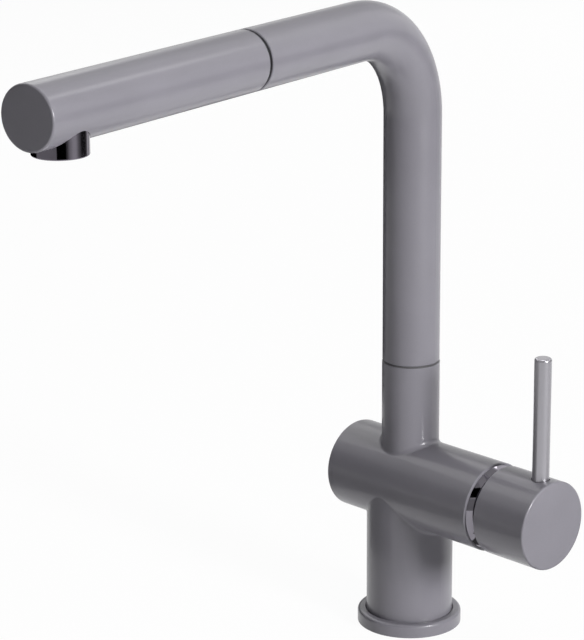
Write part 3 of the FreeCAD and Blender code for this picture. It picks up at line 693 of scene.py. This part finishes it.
def wayFrom(turn, rise):
    turn, rise = math.radians(turn), math.radians(rise)
    level = math.cos(rise)
    return Vector((math.cos(turn) * level, math.sin(turn) * level, math.sin(rise)))


def makeLamp(name, setting):
    light = bpy.data.lights.new(name, "AREA")
    light.shape = "DISK"
    light.size = setting["size"]
    light.energy = setting["watts"]
    holder = bpy.data.objects.new(name, light)
    scene.collection.objects.link(holder)
    way = wayFrom(setting["turn"], setting["rise"])
    holder.location = lampAim + way * lampDistance
    holder.rotation_mode = "QUATERNION"
    holder.rotation_quaternion = way.to_track_quat("Z", "Y")


# Cards round the studio, seen only in gloss. Each is a line from one (away, height) to another,
# swept between two turns in degrees. Tones are pairs of turn and brightness.
cards = {
    "roundWall": {"line": ((1.0, 0.0), (1.0, 0.32)), "turns": (-180, 180),
                  "tones": ((-180, 0.0), (-131, 0.0), (-127, 0.35), (-38, 0.35), (-33, 0.04),
                            (-27, 0.10), (-18, 0.42), (-4, 0.70), (8, 0.70), (21, 0.30), (40, 0.02),
                            (69, 0.02), (82, 0.3), (92, 0.9), (136, 0.9), (141, 0.0), (180, 0.0))},
    "stripCard": {"line": ((0.45, 0.235), (0.45, 0.290)), "turns": (-69, -50),
                  "tones": ((0, 0.0),)},
    "backCard": {"line": ((1.0, 0.32), (1.0, 0.62)), "turns": (98, 150), "tones": ((0, 1.0),)},
    "topCard": {"line": ((1.0, 0.62), (1.0, 1.20)), "turns": (98, 138), "tones": ((0, 0.6),)},
    "rearCard": {"line": ((0.38, 0.001), (0.99, 0.001)), "turns": (135, 190), "tones": ((0, 0.0),)},
    "leftCard": {"line": ((1.0, 0.32), (1.0, 0.60)), "turns": (-160, -58), "tones": ((0, 0.20),)},
    "middleCard": {"line": ((1.0, 0.32), (1.0, 0.46)), "turns": (-58, -22), "tones": ((0, 0.35),)},
    "patchCard": {"line": ((1.3, 0.60), (1.3, 1.25)), "turns": (-60, -20), "tones": ((0, 0.0),)},
    "lineCard": {"line": ((1.3, 1.02), (1.3, 2.08)), "turns": (-20, 62), "tones": ((0, 0.58),)},
    "cornerCard": {"line": ((1.3, 1.25), (1.3, 2.08)), "turns": (-60, -20), "tones": ((0, 0.40),)},
    "highCard": {"line": ((1.3, 2.08), (1.3, 3.20)), "turns": (-30, 62), "tones": ((0, 0.55),)},
    "floorCard": {"line": ((0.12, 0.001), (0.38, 0.001)), "turns": (-170, -95),
                  "tones": ((0, 0.15),)},
    "pinCard": {"line": ((0.38, 0.001), (0.66, 0.001)), "turns": (-170, -95),
                "tones": ((0, 0.60),)},
    "faceCard": {"line": ((0.20, 0.001), (0.36, 0.001)), "turns": (22, 48), "tones": ((0, 0.4),)},
    # A near-black sheet on the floor under the dome ring, seen only in gloss: a painted shadow
    # reflected in the ring's bottom
    "floorShadeCard": {"line": ((0.062, 0.001), (0.10, 0.001)), "turns": (-18, 40),
                  "tones": ((0, 0.10),)},
    "shadowCard": {"line": ((0.105, 0.001), (0.175, 0.001)), "turns": (-25, 50),
                   "tones": ((0, 0.0),)},
}
cardSteps = 72


def makeCard(name, setting):
    made, tree, shader = newMaterial(name)
    shader.inputs["Base Color"].default_value = (0, 0, 0, 1)
    shader.inputs["Specular IOR Level"].default_value = 0.0
    shader.inputs["Emission Strength"].default_value = 1.0
    place = addNode(tree, "ShaderNodeTexCoord")
    sweep = addNode(tree, "ShaderNodeTexGradient", gradient_type="RADIAL")
    tree.links.new(place.outputs["Object"], sweep.inputs["Vector"])
    ramp = addNode(tree, "ShaderNodeValToRGB")
    tree.links.new(sweep.outputs["Fac"], ramp.inputs["Fac"])
    tree.links.new(ramp.outputs["Color"], shader.inputs["Emission Color"])
    stops = ramp.color_ramp.elements
    while len(stops) > 1:
        stops.remove(stops[-1])
    for index, (turn, tone) in enumerate(setting["tones"]):
        position = turn / 360 + 0.5
        stop = stops[0] if index == 0 else stops.new(position)
        stop.position = position
        stop.color = (tone, tone, tone, 1.0)
    first, last = setting["turns"]
    (away, low), (farAway, high) = setting["line"]
    outward = wayFrom(first, 0.0)
    start = outward * away
    card = startPoint(name, (start.x, start.y, low))
    step = outward * (farAway - away)
    bpy.ops.mesh.extrude_region_move(TRANSFORM_OT_translate={"value": (step.x, step.y, high - low)})
    bpy.ops.object.mode_set(mode="OBJECT")
    bend = card.modifiers.new("bend", "SCREW")
    bend.axis = "Z"
    bend.angle = math.radians(last - first)
    bend.steps = bend.render_steps = cardSteps
    applyModifiers(card)
    card.data.materials.append(made)
    card.visible_camera = False
    card.visible_diffuse = False
    card.visible_transmission = False
    card.visible_shadow = False


makeFloor(floor)
makeWorld(surroundings)
for name, setting in lamps.items():
    makeLamp(name, setting)
for name, setting in cards.items():
    makeCard(name, setting)
print("studio lit")
